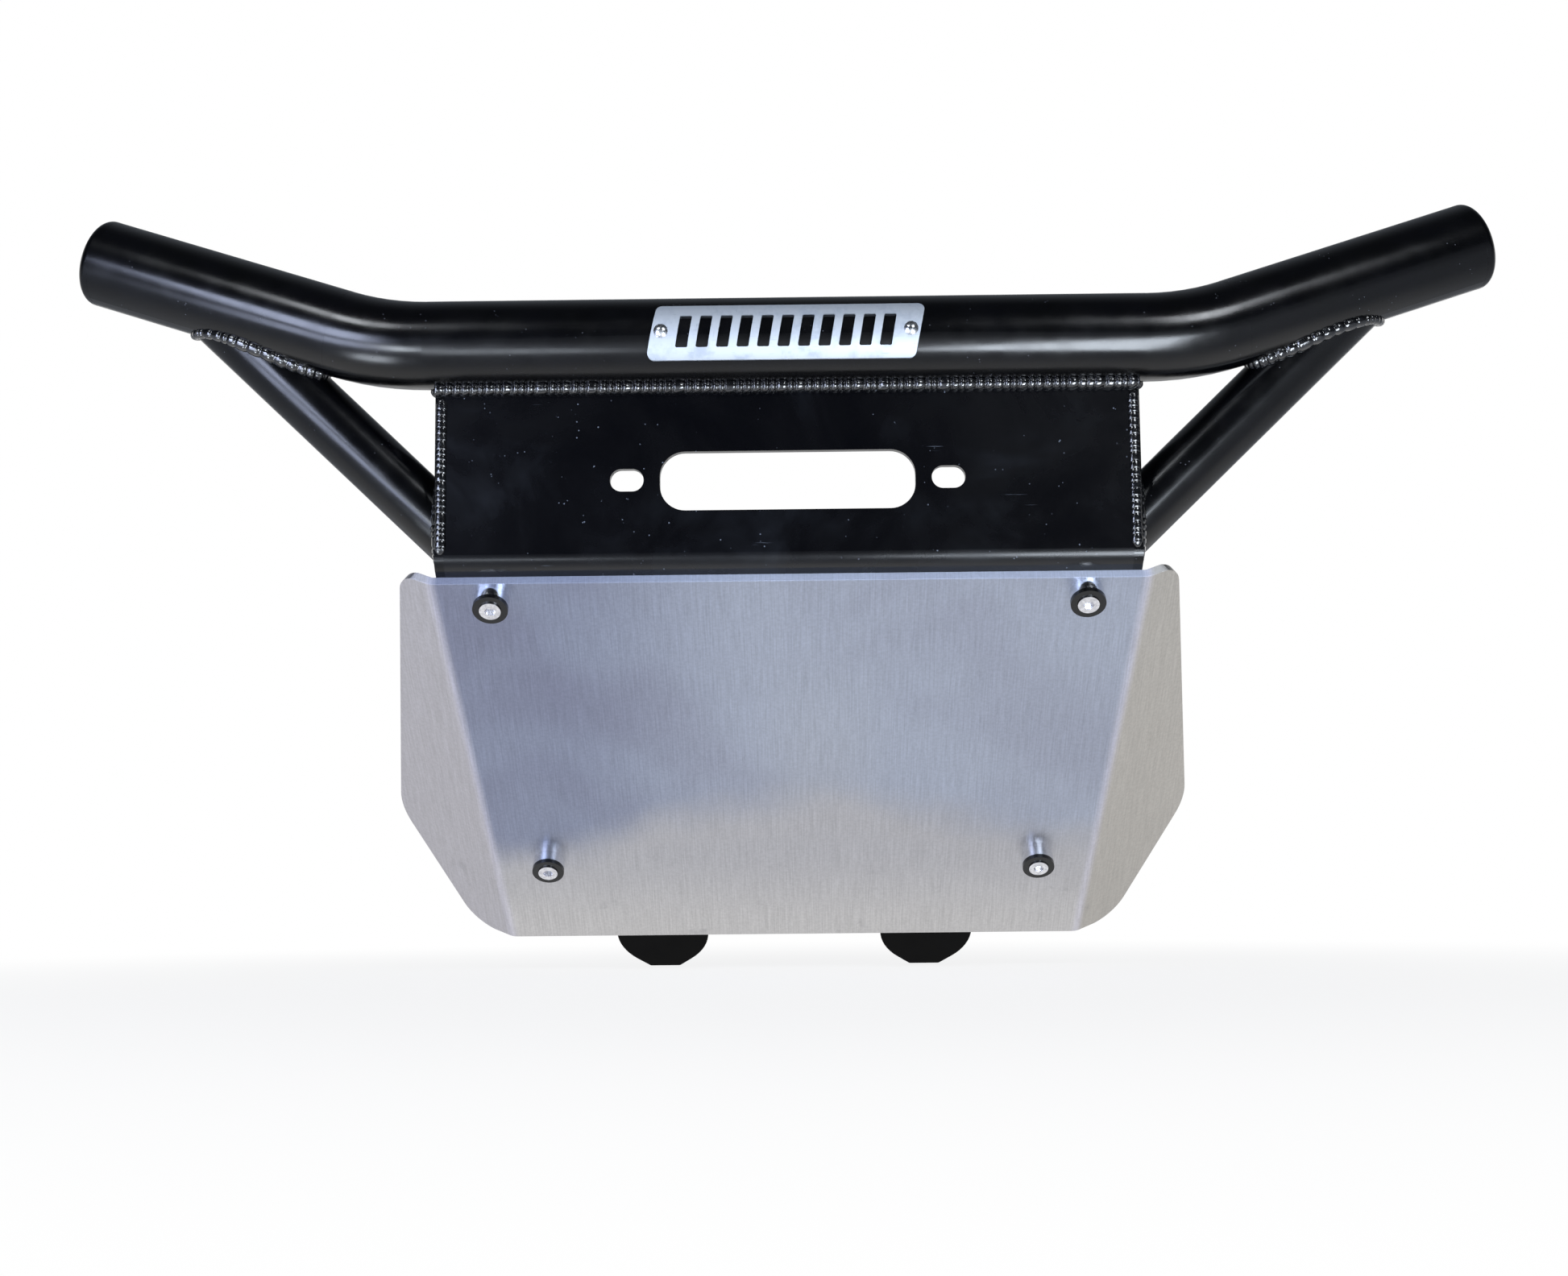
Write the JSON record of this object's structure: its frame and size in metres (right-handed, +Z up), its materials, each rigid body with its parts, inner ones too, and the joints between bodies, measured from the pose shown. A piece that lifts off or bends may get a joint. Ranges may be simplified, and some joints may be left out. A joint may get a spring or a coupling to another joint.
{
  "type": "vehicle front bumper",
  "caption": "Tubular front bumper with a fairlead plate, two braces and a folded aluminium skid plate bolted under it.",
  "frame": {"origin": "middle of the fairlead bolt pattern, on the front face of the fairlead plate", "axes": "+X across the vehicle, +Y back towards the vehicle, +Z up; the fairlead plate stands upright and faces -Y"},
  "size_m": [0.7214, 0.2726, 0.391],
  "materials": {
    "frame_black": "satin powder coat",
    "plate_black": "dusty satin powder coat",
    "weld_black": "glossy powder coat over a rippled weld",
    "skid_aluminium": "brushed",
    "screw_silver": "polished",
    "ring_black": "black anodised",
    "spacer_silver": "turned",
    "nut_steel": "zinc plated",
    "badge_silver": "polished"
  },
  "bodies": {
    "root": {"main_tube": "frame_black", "end_cap_left": "frame_black", "end_cap_right": "frame_black", "brace_left": "frame_black", "brace_right": "frame_black", "fairlead_plate": "plate_black", "side_plate_left": "frame_black", "side_plate_right": "frame_black", "tube_seam": "weld_black", "corner_weld_left": "weld_black", "corner_weld_right": "weld_black", "side_weld_left": "weld_black", "side_weld_right": "weld_black", "foot_weld_left": "weld_black", "foot_weld_right": "weld_black", "head_weld_left": "weld_black", "head_weld_right": "weld_black", "lower_frame": "frame_black", "leg_welds": "weld_black", "skid_plate": "skid_aluminium", "skid_screws": "screw_silver", "skid_rings": "ring_black", "skid_spacers": "spacer_silver", "skid_nuts": "nut_steel", "badge_plate": "badge_silver", "badge_rivets": "badge_silver"}
  },
  "joints": []
}
